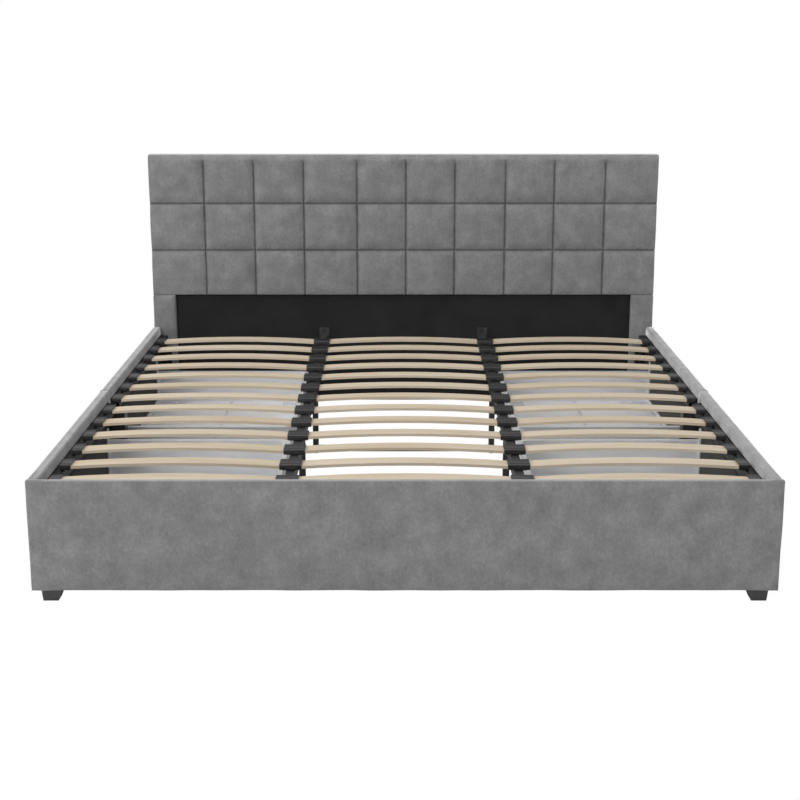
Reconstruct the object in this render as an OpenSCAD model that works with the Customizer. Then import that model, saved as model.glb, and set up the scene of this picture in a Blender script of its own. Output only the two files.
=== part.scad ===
// Platform bed with storage drawers: an upholstered frame, three columns of sprung slats
// and four drawers on wheels, two to a side.
// X runs across the bed, Y from the foot to the head, Z up. The origin is on the floor under
// the middle of the bed. The modules measure Y from the footboard's front; placed() shifts it.

/* [Bed] */
// Width over the upholstery
bed_w = 2000; // [1700:10:2100]
// Length from the footboard's front to the headboard's front
bed_len = 2090; // [2060:10:2120]
// Gap between the floor and the panels
ground_gap = 33; // [28:1:40]
// Height of the side rails' top
rail_top = 333; // [325:1:340]
// Height of the footboard's top
foot_top = 339; // [334:1:360]

/* [Panels] */
// Thickness of the board inside a panel
board_t = 15; // [12:1:16]
// Foam and fabric on the outside of a panel
foam_t = 6; // [4:1:8]
// Fabric folded over the edge of a panel
wrap_t = 4; // [3:1:5]
// Fabric on the inside of a side rail
skirt_t = 3; // [2:1:4]
// Thickness of the padded footboard
foot_t = 24; // [24:1:34]
// Thickness of the board inside a drawer front
front_board_t = 20; // [16:1:22]

/* [Headboard] */
// Height of the headboard
head_top = 1016; // [900:2:1200]
// Height at which the tufted pad starts
pad_bottom = 462; // [420:2:500]
// Thickness of the pad
pad_t = 30; // [24:1:40]
// Depth of the timber frame behind the pad
frame_t = 38; // [30:1:50]
// Width of each upholstered leg
leg_w = 87; // [80:1:110]

/* [Slats] */
// Rows of slats
rows = 13; // [11:1:14]
// Distance from the footboard's front to the middle of the first row
first_row = 108; // [90:1:112]
// Distance between rows
row_pitch = 151.3; // [130:0.1:151.3]
// Width of a slat
slat_w = 55; // [45:1:60]
// Thickness of a slat
slat_t = 8; // [7:0.5:9]
// Rise of a slat's middle over its ends
slat_rise = 11; // [6:1:16]
// Distance from the middle of the bed to each centre rail
centre_x = 318.5; // [300:0.5:325]

/* [Drawers] */
// Length of a drawer bay
bay_len = 865; // [840:5:870]
// Distance from the footboard's front to the first bay
first_bay = 100; // [99:1:104]
// Distance between the two bays on a side
bay_pitch = 990; // [985:1:998]
// Height of the tray's rim over the floor
tray_top = 186; // [170:1:200]
// How far the tray reaches in from the bed's side
tray_depth = 600; // [520:5:600]
// Radius of a drawer's wheel
wheel_r = 22; // [18:1:24]

/* [Hidden] */
$fn = 48;

SIDES = ["left", "right"];
ENDS = ["foot", "head"];

half_w = bed_w / 2;
board_out = half_w - foam_t;               // outer face of a side board
board_in = board_out - board_t;            // inner face of a side board
foot_foam = 6;                             // foam on the footboard's front
lining_t = 3;                              // black cloth on the inside of a panel
back_t = 2;                                // cloth over the headboard's back
split_y = first_bay + (bay_pitch + bay_len) / 2 + 0.5;  // where each side's two rails meet
split_gap = 2;
bay_top = 245;                             // underside of the rail over a drawer

ledge_top = 298;                           // the slats' caps stand on this level
ledge_w = 30;
ledge_h = 30;
tube_wall = 2;

centre_w = 25;
centre_h = 40;
support_y = [710, 1430];
support_w = 20;
glide_h = 7;

cap_h = 18;
cap_y = slat_w + 8;                        // size of a cap along the bed
cap_floor = 3.5;                           // plastic under the slat
side_cap_in = half_w - 69;                 // inner end of a side cap
side_cap_l = 30;
centre_cap_l = 62;
slat_clear = 1;                            // gap at the end of a slat inside its cap
slat_bottom = ledge_top + cap_floor + 0.5;

dust_t = 8;
head_front = bed_len;                      // front face of the headboard
frame_y = head_front + pad_t;              // front face of the timber frame
total_len = frame_y + frame_t + back_t;
leg_in = half_w - leg_w;                   // inner edge of an upholstered leg

front_gap = 4;                             // gap round a drawer front
tray_gap = 15;                             // gap between a tray and the ends of its bay
tray_wall = 4;
tray_bottom = 62;
tray_flange = 10;
tray_radius = 28;
caster_in = 76;                            // caster to the tray's end, along X
caster_end = 42;                           // caster to the tray's end, along Y
wheel_w = 16;
axle_r = 3;
fit = 0.05;                                // running clearance on a radius

bracket_t = 3;
bolt_r = 3;
bolt_head_r = 7;
bolt_depth = 14;                           // how far a bolt reaches into a panel

PANEL_NODES = [for (s = SIDES, e = ENDS, k = ["rail_board", "rail_cover"]) str(s, "_", e, "_", k)];
DRAWER_KINDS = ["front_board", "front_cover", "front_lining", "tray", "casters",
                "outer_wheels", "inner_wheels"];
DRAWER_NODES = [for (s = SIDES, e = ENDS, k = DRAWER_KINDS) str(s, "_", e, "_drawer_", k)];
FRAME_NODES = [
    "headboard_posts", "headboard_rails", "headboard_pad", "headboard_leg_covers",
    "headboard_dust_panel", "headboard_back_cover",
    "footboard_board", "footboard_cover", "footboard_lining",
    "ledges", "leg_blocks", "corner_brackets", "plastic_feet",
    "centre_rails", "centre_rail_sockets",
    "foot_support_leg", "head_support_leg", "support_glides",
    "left_slats", "middle_slats", "right_slats",
    "side_caps", "centre_caps",
    "frame_bolts"
];

function side_sign(s) = s == "left" ? -1 : 1;
function row_y(i) = first_row + i * row_pitch;
function bay_y(e) = first_bay + (e == "foot" ? 0 : bay_pitch);

VELVET = [0.55, 0.55, 0.56];
TIMBER = [0.72, 0.60, 0.44];
BIRCH = [0.80, 0.70, 0.56];
STEEL = [0.16, 0.16, 0.17];
PLASTIC = [0.20, 0.20, 0.21];
LINING = [0.09, 0.09, 0.09];
TRAY_GREY = [0.66, 0.66, 0.66];

// ---- Helpers --------------------------------------------------------------------------

// A box between two corners.
module span(low, high) {
    translate(low) cube(high - low);
}

// What follows, moved so that the middle of the bed is at the origin.
module placed() {
    translate([0, -total_len / 2, 0]) children();
}

// What follows, on the right side or mirrored to the left one.
module on_side(s) {
    mirror([side_sign(s) < 0 ? 1 : 0, 0, 0]) children();
}

// A steel tube along Y between two corners.
module tube_y(low, high) {
    difference() {
        span(low, high);
        span([low.x + tube_wall, low.y - 1, low.z + tube_wall],
             [high.x - tube_wall, high.y + 1, high.z - tube_wall]);
    }
}

// A rectangle with round corners, centred on the origin.
module round_rect(w, l, r) {
    square([w - 2 * r, l], center = true);
    square([w, l - 2 * r], center = true);
    for (x = [-1, 1], y = [-1, 1])
        translate([x * (w / 2 - r), y * (l / 2 - r)]) circle(r);
}

// A block with round vertical corners between two corners.
module round_span(low, high, r) {
    size = high - low;
    translate([low.x + size.x / 2, low.y + size.y / 2, low.z])
        linear_extrude(size.z) round_rect(size.x, size.y, r);
}

// ---- Headboard ------------------------------------------------------------------------

module headboard_posts() {
    color(TIMBER) difference() {
        for (s = SIDES) on_side(s)
            span([leg_in + wrap_t, frame_y, ground_gap],
                 [half_w - wrap_t, frame_y + frame_t, head_top - wrap_t]);
        bolt_bores();
    }
}

module headboard_rails() {
    low_rail = [230, 330];
    middle_rail = [pad_bottom - 32, pad_bottom + 38];
    top_rail = [head_top - wrap_t - 62, head_top - wrap_t];
    color(TIMBER) difference() {
        for (z = [low_rail, middle_rail, top_rail])
            span([-leg_in - wrap_t, frame_y, z[0]], [leg_in + wrap_t, frame_y + frame_t, z[1]]);
        bolt_bores();
    }
}

// The velvet goes round the timber's top and sides, and is closed behind by the back cover.
module headboard_pad() {
    back_y = frame_y + frame_t;
    color(VELVET) difference() {
        span([-half_w, head_front, pad_bottom], [half_w, back_y, head_top]);
        span([-half_w + wrap_t, frame_y, pad_bottom - 1],
             [half_w - wrap_t, back_y + 1, head_top - wrap_t]);
    }
}

module headboard_leg_covers() {
    back_y = frame_y + frame_t;
    color(VELVET) difference() {
        for (s = SIDES) on_side(s) difference() {
            span([leg_in, head_front, ground_gap], [half_w, back_y, pad_bottom]);
            span([leg_in - 1, frame_y, ground_gap - 1], [half_w - wrap_t, back_y + 1, pad_bottom + 1]);
        }
        bolt_bores();
    }
}

module headboard_dust_panel() {
    panel_bottom = ground_gap - 9;
    color(LINING) difference() {
        span([-leg_in, frame_y - dust_t, panel_bottom], [leg_in, frame_y, pad_bottom]);
        bolt_bores();
    }
}

module headboard_back_cover() {
    back_y = frame_y + frame_t;
    color(LINING)
        span([-half_w + wrap_t, back_y, ground_gap], [half_w - wrap_t, back_y + back_t, head_top - wrap_t]);
}

// ---- Footboard ------------------------------------------------------------------------

module footboard_board() {
    color(TIMBER) difference() {
        span([-half_w + wrap_t, foot_foam, ground_gap + wrap_t],
             [half_w - wrap_t, foot_t - lining_t, foot_top - wrap_t]);
        bolt_bores();
    }
}

module footboard_cover() {
    color(VELVET) difference() {
        span([-half_w, 0, ground_gap], [half_w, foot_t, foot_top]);
        span([-half_w + wrap_t, foot_foam, ground_gap + wrap_t],
             [half_w - wrap_t, foot_t + 1, foot_top - wrap_t]);
    }
}

module footboard_lining() {
    color(LINING) difference() {
        span([-half_w + wrap_t, foot_t - lining_t, ground_gap + wrap_t],
             [half_w - wrap_t, foot_t, foot_top - wrap_t]);
        bolt_bores();
    }
}

// ---- Side rails -----------------------------------------------------------------------

// Each side is two upholstered rails. A rail is a strip over a drawer, with a block that
// comes down to the ground gap at each of its ends.
function rail_y(e) = e == "foot" ? [foot_t, split_y - split_gap / 2]
                                 : [split_y + split_gap / 2, head_front];
function near_block_y(e) = [rail_y(e)[0], bay_y(e)];
function far_block_y(e) = [bay_y(e) + bay_len, rail_y(e)[1]];

module rail_board(s, e) {
    strip = rail_y(e);
    near = near_block_y(e);
    far = far_block_y(e);
    color(TIMBER) on_side(s) difference() {
        union() {
            span([board_in, strip[0], bay_top], [board_out, strip[1], rail_top - wrap_t]);
            span([board_in, near[0], ground_gap + wrap_t], [board_out, near[1] - wrap_t, bay_top]);
            span([board_in, far[0] + wrap_t, ground_gap + wrap_t], [board_out, far[1], bay_top]);
        }
        side_bolt_bores();
    }
}

// Fabric over a strip: outside, over the top, and down the inside to the ledge.
module strip_cover(y) {
    skirt_bottom = ledge_top + 3;
    inner = board_in - skirt_t;
    translate([0, y[1], 0]) rotate([90, 0, 0]) linear_extrude(y[1] - y[0]) polygon([
        [board_out, bay_top], [half_w, bay_top], [half_w, rail_top], [inner, rail_top],
        [inner, skirt_bottom], [board_in, skirt_bottom],
        [board_in, rail_top - wrap_t], [board_out, rail_top - wrap_t]
    ]);
}

// Where two rails meet, the fabric folded round a rail's end reaches further down inside.
module end_tail(e) {
    drop = e == "foot" ? 28 : 14;
    tail_l = ledge_short(e) - 3;
    y0 = e == "foot" ? rail_y(e)[1] - tail_l : rail_y(e)[0];
    span([board_in - skirt_t, y0, ledge_top + 3 - drop], [board_in, y0 + tail_l, ledge_top + 3]);
}

module rail_cover(s, e) {
    near = near_block_y(e);
    far = far_block_y(e);
    color(VELVET) on_side(s) {
        strip_cover(rail_y(e));
        end_tail(e);
        difference() {
            span([board_in, near[0], ground_gap], [half_w, near[1], bay_top]);
            span([board_in - 1, near[0] - 1, ground_gap + wrap_t],
                 [board_out, near[1] - wrap_t, bay_top + 1]);
        }
        difference() {
            span([board_in, far[0], ground_gap], [half_w, far[1], bay_top]);
            span([board_in - 1, far[0] + wrap_t, ground_gap + wrap_t],
                 [board_out, far[1] + 1, bay_top + 1]);
        }
    }
}

// A ledge stops short of the end where its rail meets the next one.
function ledge_short(e) = e == "foot" ? 34 : 14;

module ledges() {
    color(STEEL) for (s = SIDES, e = ENDS) on_side(s) {
        y0 = rail_y(e)[0] + (e == "foot" ? 0 : ledge_short(e));
        y1 = rail_y(e)[1] - (e == "foot" ? ledge_short(e) : 0);
        tube_y([board_in - ledge_w, y0, ledge_top - ledge_h], [board_in, y1, ledge_top]);
    }
}

// Blocks that carry the feet: short ones in the foot corners, full ones that join two rails.
module leg_blocks() {
    block_w = 54;
    corner_l = 48;
    corner_top = 150;
    color(PLASTIC) for (s = SIDES) on_side(s) {
        span([board_in - block_w, foot_t, ground_gap],
             [board_in, foot_t + corner_l, corner_top]);
        span([board_in - block_w, split_y - corner_l / 2, ground_gap],
             [board_in, split_y + corner_l / 2, ledge_top - ledge_h]);
    }
}

// ---- Brackets, bolts and feet ---------------------------------------------------------

bracket_leg = 44;
bracket_z = [170, 236];
bracket_bolts = [187, 219];
bracket_bolt_x = board_in - bracket_leg / 2;

// An angle between a side rail and an end panel whose inner face is at y. dir is +1 for
// the footboard and -1 for the headboard.
module angle_bracket(y, dir) {
    translate([0, y, 0]) mirror([0, dir < 0 ? 1 : 0, 0]) difference() {
        union() {
            span([board_in - bracket_t, 0, bracket_z[0]], [board_in, bracket_leg, bracket_z[1]]);
            span([board_in - bracket_leg, 0, bracket_z[0]], [board_in, bracket_t, bracket_z[1]]);
        }
        for (z = bracket_bolts) {
            translate([bracket_bolt_x, -1, z]) rotate([-90, 0, 0])
                cylinder(r = bolt_r + 0.3, h = bracket_t + 2);
            translate([board_in - bracket_t - 1, bracket_leg / 2 + 6, z]) rotate([0, 90, 0])
                cylinder(r = bolt_r + 0.3, h = bracket_t + 2);
        }
    }
}

module corner_brackets() {
    color(STEEL) for (s = SIDES) on_side(s) {
        angle_bracket(foot_t, 1);
        angle_bracket(head_front, -1);
    }
}

// A socket on an end panel holds the end of a centre rail: a back plate with a cradle.
socket_l = 30;
socket_plate = [40, 236, 326];             // width, bottom and top
socket_bolts = [246, 313];

module rail_socket(y, dir) {
    gap = 0.5;
    inner = centre_w / 2 + gap;
    cradle_bottom = ledge_top - centre_h;
    cradle_top = ledge_top - 8;
    translate([centre_x, y, 0]) mirror([0, dir < 0 ? 1 : 0, 0]) difference() {
        union() {
            span([-socket_plate[0] / 2, 0, socket_plate[1]],
                 [socket_plate[0] / 2, bracket_t, socket_plate[2]]);
            span([-inner - bracket_t, 0, cradle_bottom - bracket_t],
                 [inner + bracket_t, socket_l, cradle_top]);
        }
        span([-inner, bracket_t, cradle_bottom], [inner, socket_l + 1, cradle_top + 1]);
        for (z = socket_bolts)
            translate([0, -1, z]) rotate([-90, 0, 0]) cylinder(r = bolt_r + 0.3, h = bracket_t + 2);
    }
}

module centre_rail_sockets() {
    color(STEEL) for (s = SIDES) on_side(s) {
        rail_socket(foot_t, 1);
        rail_socket(frame_y - dust_t, -1);
    }
}

// What follows, once at each bolt of the bed's right half, with Z out of the face the bolt
// goes into.
module at_panel_bolts() {
    for (z = bracket_bolts) {
        translate([bracket_bolt_x, foot_t, z]) rotate([-90, 0, 0]) children();
        translate([bracket_bolt_x, head_front, z]) rotate([90, 0, 0]) children();
    }
    for (z = socket_bolts) {
        translate([centre_x, foot_t, z]) rotate([-90, 0, 0]) children();
        translate([centre_x, frame_y - dust_t, z]) rotate([90, 0, 0]) children();
    }
}

module at_side_bolts() {
    for (z = bracket_bolts, y = [foot_t + bracket_leg / 2 + 6, head_front - bracket_leg / 2 - 6])
        translate([board_in, y, z]) rotate([0, -90, 0]) children();
}

// The bolts that meet the headboard's padded legs go right through them into the posts.
module bolt_bores() {
    long = pad_t + bolt_depth;
    for (s = SIDES) on_side(s) {
        at_panel_bolts() translate([0, 0, -bolt_depth]) cylinder(r = bolt_r + 0.1, h = bolt_depth + 1);
        for (z = bracket_bolts) translate([bracket_bolt_x, head_front - 1, z]) rotate([-90, 0, 0])
            cylinder(r = bolt_r + 0.1, h = long + 1);
    }
}

module side_bolt_bores() {
    at_side_bolts() translate([0, 0, -board_t - 1]) cylinder(r = bolt_r + 0.1, h = board_t + 2);
}

// A bolt whose round head rests on a bracket, with its thread reaching depth below it.
module bolt(depth) {
    head_h = 4;
    translate([0, 0, -depth]) cylinder(r = bolt_r, h = depth + bracket_t);
    translate([0, 0, bracket_t]) cylinder(r1 = bolt_head_r, r2 = bolt_head_r - 2, h = head_h);
}

module frame_bolts() {
    color(STEEL) for (s = SIDES) on_side(s) {
        at_panel_bolts() bolt(bolt_depth - 2);
        at_side_bolts() bolt(board_t - 3);
        for (z = bracket_bolts) translate([bracket_bolt_x, head_front, z]) rotate([-90, 0, 0])
            cylinder(r = bolt_r, h = pad_t + bolt_depth - 2);
    }
}

// A foot whose inner sides slope in towards the floor.
module plastic_foot(x, y, back_dir) {
    half = 27;
    profile = [[-half + 10, 0], [half - 3, 0], [half, ground_gap],
               [-half, ground_gap], [-half, ground_gap - 7]];
    translate([x, y, 0]) mirror([0, back_dir < 0 ? 1 : 0, 0]) intersection() {
        rotate([90, 0, 0]) linear_extrude(2 * half + 2, center = true) polygon(profile);
        rotate([90, 0, -90]) linear_extrude(2 * half + 2, center = true) polygon(profile);
    }
}

module plastic_feet() {
    foot_x = half_w - 51;
    front_y = 37;
    back_y = (head_front + total_len) / 2;
    color(PLASTIC) for (s = SIDES) on_side(s) {
        plastic_foot(foot_x, front_y, 1);
        plastic_foot(foot_x, split_y, 1);
        plastic_foot(foot_x, back_y, -1);
    }
}

// ---- Centre rails and their support legs ----------------------------------------------

module centre_rails() {
    end_gap = bracket_t + 0.5;
    color(STEEL) for (s = SIDES) on_side(s)
        tube_y([centre_x - centre_w / 2, foot_t + end_gap, ledge_top - centre_h],
               [centre_x + centre_w / 2, frame_y - dust_t - end_gap, ledge_top]);
}

// A U-shaped leg of square tube stands under both centre rails.
module support_leg(y) {
    half = support_w / 2;
    bar_top = glide_h + support_w;
    color(STEEL) {
        for (s = SIDES) on_side(s) difference() {
            span([centre_x - half, y - half, bar_top], [centre_x + half, y + half, ledge_top - centre_h]);
            span([centre_x - half + tube_wall, y - half + tube_wall, bar_top - 1],
                 [centre_x + half - tube_wall, y + half - tube_wall, ledge_top]);
        }
        difference() {
            span([-centre_x - half, y - half, glide_h], [centre_x + half, y + half, bar_top]);
            span([-bed_w, y - half + tube_wall, glide_h + tube_wall],
                 [bed_w, y + half - tube_wall, bar_top - tube_wall]);
        }
    }
}

module support_glides() {
    color(PLASTIC) for (y = support_y, s = SIDES) on_side(s)
        translate([centre_x, y, 0]) {
            cylinder(r1 = 11, r2 = 13, h = 2);
            translate([0, 0, 2]) cylinder(r = 13, h = glide_h - 2);
        }
}

// ---- Slats and caps -------------------------------------------------------------------

// A slat bent to an arc between two ends along X.
module slat(x0, x1, y) {
    chord = x1 - x0;
    r = chord * chord / (8 * slat_rise) + slat_rise / 2;
    half_angle = asin(chord / 2 / r);
    translate([(x0 + x1) / 2, y + slat_w / 2, slat_bottom + slat_rise - r])
        rotate([90, 0, 0]) rotate([0, 0, 90 - half_angle])
            rotate_extrude(angle = 2 * half_angle, $fn = 360) translate([r, 0]) square([slat_t, slat_w]);
}

cap_wall = 7;                              // half the plastic between two slats' ends
middle_end = centre_x - cap_wall - slat_clear;
outer_start = centre_x + cap_wall + slat_clear;
outer_end = side_cap_in + 16;

module slats(column) {
    color(BIRCH) for (i = [0 : rows - 1]) {
        if (column == "middle") slat(-middle_end, middle_end, row_y(i));
        else on_side(column) slat(outer_start, outer_end, row_y(i));
    }
}

pocket_h = 12.5;
pocket_y = slat_w + 1;

module side_caps() {
    color(PLASTIC) for (s = SIDES, i = [0 : rows - 1]) on_side(s) difference() {
        span([side_cap_in, row_y(i) - cap_y / 2, ledge_top],
             [side_cap_in + side_cap_l, row_y(i) + cap_y / 2, ledge_top + cap_h]);
        span([side_cap_in - 1, row_y(i) - pocket_y / 2, ledge_top + cap_floor],
             [outer_end + slat_clear, row_y(i) + pocket_y / 2, ledge_top + cap_floor + pocket_h]);
    }
}

module centre_caps() {
    color(PLASTIC) for (s = SIDES, i = [0 : rows - 1]) on_side(s) difference() {
        span([centre_x - centre_cap_l / 2, row_y(i) - cap_y / 2, ledge_top],
             [centre_x + centre_cap_l / 2, row_y(i) + cap_y / 2, ledge_top + cap_h]);
        for (x = [[centre_x - centre_cap_l / 2 - 1, centre_x - cap_wall],
                  [centre_x + cap_wall, centre_x + centre_cap_l / 2 + 1]])
            span([x[0], row_y(i) - pocket_y / 2, ledge_top + cap_floor],
                 [x[1], row_y(i) + pocket_y / 2, ledge_top + cap_floor + pocket_h]);
    }
}

// ---- Drawers --------------------------------------------------------------------------

function front_y(e) = [bay_y(e) + front_gap, bay_y(e) + bay_len - front_gap];
function tray_y(e) = [bay_y(e) + tray_gap, bay_y(e) + bay_len - tray_gap];
front_z = [ground_gap + 4, bay_top - 5];
front_in = board_out - front_board_t;      // inner face of a drawer front's board
tray_out = front_in - lining_t;
tray_in = tray_out - tray_depth;

module front_board(s, e) {
    y = front_y(e);
    color(TIMBER) on_side(s)
        span([front_in, y[0] + wrap_t, front_z[0] + wrap_t],
             [board_out, y[1] - wrap_t, front_z[1] - wrap_t]);
}

module front_cover(s, e) {
    y = front_y(e);
    color(VELVET) on_side(s) difference() {
        span([front_in, y[0], front_z[0]], [half_w, y[1], front_z[1]]);
        span([front_in - 1, y[0] + wrap_t, front_z[0] + wrap_t],
             [board_out, y[1] - wrap_t, front_z[1] - wrap_t]);
    }
}

module front_lining(s, e) {
    y = front_y(e);
    color(LINING) on_side(s)
        span([tray_out, y[0] + wrap_t, front_z[0] + wrap_t],
             [front_in, y[1] - wrap_t, front_z[1] - wrap_t]);
}

// The raised panels of a tray's floor leave its corners free for the casters' bosses.
module floor_panels(low, high) {
    groove = 12;
    border = 14;                           // floor left flat along a wall
    notch = [86, 112, 104];                // a corner's size: inner X, outer X and Y
    mid = (low + high) / 2;
    inner = [low.x + border, mid.x - groove / 2];
    outer = [mid.x + groove / 2, high.x - border];
    wide_l = high.y - low.y - 2 * notch[2];
    full_l = high.y - low.y - 2 * border;
    for (x = [inner, outer])
        translate([(x[0] + x[1]) / 2, mid.y]) round_rect(x[1] - x[0], wide_l, 10);
    for (x = [[low.x + notch[0], inner[1]], [outer[0], high.x - notch[1]]])
        translate([(x[0] + x[1]) / 2, mid.y]) round_rect(x[1] - x[0], full_l, 10);
}

// A moulded tray: a floor, three walls with a rim, and an open side with upright flanges
// that the drawer's front is screwed to.
module tray(s, e) {
    y = tray_y(e);
    floor_z = tray_bottom + tray_wall;
    beyond = tray_out + 2 * tray_radius;
    wall_x = tray_in + tray_flange;
    wall_y = [y[0] + tray_flange, y[1] - tray_flange];
    flange_t = 5;
    flange_w = 14;
    flange_top = 226;
    lip_top = tray_bottom + 14;
    pad_h = 3;
    color(TRAY_GREY) on_side(s) {
        difference() {
            union() {
                round_span([wall_x, wall_y[0], tray_bottom], [beyond, wall_y[1], tray_top], tray_radius);
                round_span([tray_in, y[0], tray_top - 4], [beyond, y[1], tray_top],
                           tray_radius + tray_flange);
            }
            round_span([wall_x + tray_wall, wall_y[0] + tray_wall, floor_z],
                       [beyond + 50, wall_y[1] - tray_wall, tray_top + 1], tray_radius - tray_wall);
            span([tray_out, y[0] - 1, 0], [beyond + 60, y[1] + 1, rail_top]);
        }
        span([tray_out - flange_t, wall_y[0], tray_bottom], [tray_out, wall_y[0] + flange_w, flange_top]);
        span([tray_out - flange_t, wall_y[1] - flange_w, tray_bottom], [tray_out, wall_y[1], flange_top]);
        span([tray_out - flange_t, wall_y[0], tray_bottom], [tray_out, wall_y[1], lip_top]);
        translate([0, 0, floor_z]) linear_extrude(pad_h)
            floor_panels([wall_x + tray_wall, wall_y[0] + tray_wall],
                         [tray_out - flange_t, wall_y[1] - tray_wall]);
        for (x = caster_x, yc = caster_y(e))
            translate([x, yc, floor_z]) cylinder(r = 10, h = pad_h);
    }
}

caster_x = [tray_in + caster_in - 15, tray_out - caster_in];
function caster_y(e) = [tray_y(e)[0] + caster_end, tray_y(e)[1] - caster_end];

// The housing of one wheel: a plate under the tray with two cheeks, and the axle pin.
module caster(x, y) {
    cheek_t = 3;
    cheek_in = wheel_w / 2 + 1.5;
    cheek_r = 9;
    plate = [46, 34, 3];
    translate([x, y, 0]) {
        difference() {
            union() {
                translate([-plate.x / 2, -plate.y / 2, tray_bottom - plate.z]) cube(plate);
                for (k = [-1, 1]) translate([0, k * (cheek_in + cheek_t / 2), 0]) {
                    translate([0, cheek_t / 2, wheel_r]) rotate([90, 0, 0])
                        cylinder(r = cheek_r, h = cheek_t);
                    translate([-cheek_r, -cheek_t / 2, wheel_r])
                        cube([2 * cheek_r, cheek_t, tray_bottom - plate.z - wheel_r]);
                }
            }
            translate([0, 50, wheel_r]) rotate([90, 0, 0]) cylinder(r = axle_r + 0.02, h = 100);
        }
        translate([0, cheek_in + cheek_t + 2, wheel_r]) rotate([90, 0, 0])
            cylinder(r = axle_r, h = 2 * (cheek_in + cheek_t + 2));
    }
}

module casters(s, e) {
    color(PLASTIC) on_side(s) for (x = caster_x, y = caster_y(e)) caster(x, y);
}

// A wheel with a round edge, on a pin along Y.
module wheel(x, y) {
    edge = 3;
    half = wheel_w / 2;
    translate([x, y, wheel_r]) rotate([90, 0, 0]) rotate_extrude() difference() {
        union() {
            translate([0, -half]) square([wheel_r - edge, wheel_w]);
            translate([0, -half + edge]) square([wheel_r, wheel_w - 2 * edge]);
            for (k = [-1, 1]) translate([wheel_r - edge, k * (half - edge)]) circle(edge);
        }
        translate([-50, -50]) square([50 + axle_r + fit, 100]);
        for (k = [-1, 1]) translate([11, k * half - 1.5]) square([6, 3]);
    }
}

module wheels(s, e, x) {
    color(PLASTIC) on_side(s) for (y = caster_y(e)) wheel(x, y);
}

// ---- Nodes ----------------------------------------------------------------------------

placed() headboard_posts();
placed() headboard_rails();
placed() headboard_pad();
placed() headboard_leg_covers();
placed() headboard_dust_panel();
placed() headboard_back_cover();
placed() footboard_board();
placed() footboard_cover();
placed() footboard_lining();
placed() ledges();
placed() leg_blocks();
placed() corner_brackets();
placed() plastic_feet();
placed() centre_rails();
placed() centre_rail_sockets();
placed() support_leg(support_y[0]);  // foot_support_leg
placed() support_leg(support_y[1]);  // head_support_leg
placed() support_glides();
placed() slats("left");  // left_slats
placed() slats("middle");  // middle_slats
placed() slats("right");  // right_slats
placed() side_caps();
placed() centre_caps();
placed() frame_bolts();
for (s = SIDES, e = ENDS) {
    rail = str(s, "_", e, "_rail_");
    placed() rail_board(s, e);
    placed() rail_cover(s, e);
    drawer = str(s, "_", e, "_drawer_");
    placed() front_board(s, e);
    placed() front_cover(s, e);
    placed() front_lining(s, e);
    placed() tray(s, e);
    placed() casters(s, e);
    placed() wheels(s, e, caster_x[1]);
    placed() wheels(s, e, caster_x[0]);
}
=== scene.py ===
# %% [markdown]
# # An upholstered platform bed with storage drawers
# The bed arrives as an exact model: every board, tube, slat and drawer is in its real place, in
# metres, and grouped into the bodies that move together. Here it gets what such a model lacks:
# velvet over foam, stapled cloth, wood grain and moulded plastic.

import contextlib
import math

import bmesh
import bpy
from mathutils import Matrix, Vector, noise


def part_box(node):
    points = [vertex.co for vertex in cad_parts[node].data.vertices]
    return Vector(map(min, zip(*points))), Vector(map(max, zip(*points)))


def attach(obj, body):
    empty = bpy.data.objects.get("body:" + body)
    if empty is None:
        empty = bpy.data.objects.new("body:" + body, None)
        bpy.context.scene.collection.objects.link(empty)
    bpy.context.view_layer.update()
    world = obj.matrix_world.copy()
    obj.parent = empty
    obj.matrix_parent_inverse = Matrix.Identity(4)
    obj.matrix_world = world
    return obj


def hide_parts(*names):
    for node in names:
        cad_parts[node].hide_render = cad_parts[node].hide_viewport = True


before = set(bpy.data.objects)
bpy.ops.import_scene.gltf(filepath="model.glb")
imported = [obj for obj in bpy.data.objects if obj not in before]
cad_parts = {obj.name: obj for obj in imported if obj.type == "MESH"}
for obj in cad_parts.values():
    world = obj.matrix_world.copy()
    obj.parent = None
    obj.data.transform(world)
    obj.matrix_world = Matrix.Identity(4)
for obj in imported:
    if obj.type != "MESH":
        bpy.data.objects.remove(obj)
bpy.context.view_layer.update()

# %% [markdown]
# ## The camera
# The bed is seen from its foot, from the height of a standing person's shoulders and almost in line
# with its middle. The camera is tilted down by a little over 14 degrees. A long lens from nearly
# five metres keeps the headboard and the footboard close in size.

# %% Camera
TILT_FROM_STRAIGHT_DOWN = 75.726
bpy.ops.object.camera_add(location=(-0.0132, -4.7199, 1.4867),
                          rotation=(math.radians(TILT_FROM_STRAIGHT_DOWN), 0, 0))
camera = bpy.context.object
camera.name = "camera"
camera.data.lens = 65.30
camera.data.sensor_width = 36.0
bpy.context.scene.camera = camera
print("camera", tuple(camera.location), "lens", camera.data.lens)

# %% [markdown]
# ## The studio
# The bed stands on a white sweep. A photographer lights the sweep until it is pure white. The same
# result comes from a world and a floor that are white to the camera, and dimmer to everything
# else, so that they fill the shadows softly. Large soft lights give the shape: a weak one overhead,
# a strong key light high up in front, a little to the left, and one at the left side. The Standard
# view transform keeps white white.

# %% World and floor
def add_node(tree, kind, inputs=None, **settings):
    """A new node in a node tree. An input is linked where its value is a socket, and set where not."""
    made = tree.nodes.new("ShaderNode" + kind)
    for key, value in settings.items():
        setattr(made, key, value)
    for key, value in (inputs or {}).items():
        if isinstance(value, bpy.types.NodeSocket):
            tree.links.new(value, made.inputs[key])
        else:
            made.inputs[key].default_value = value
    return made


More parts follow.
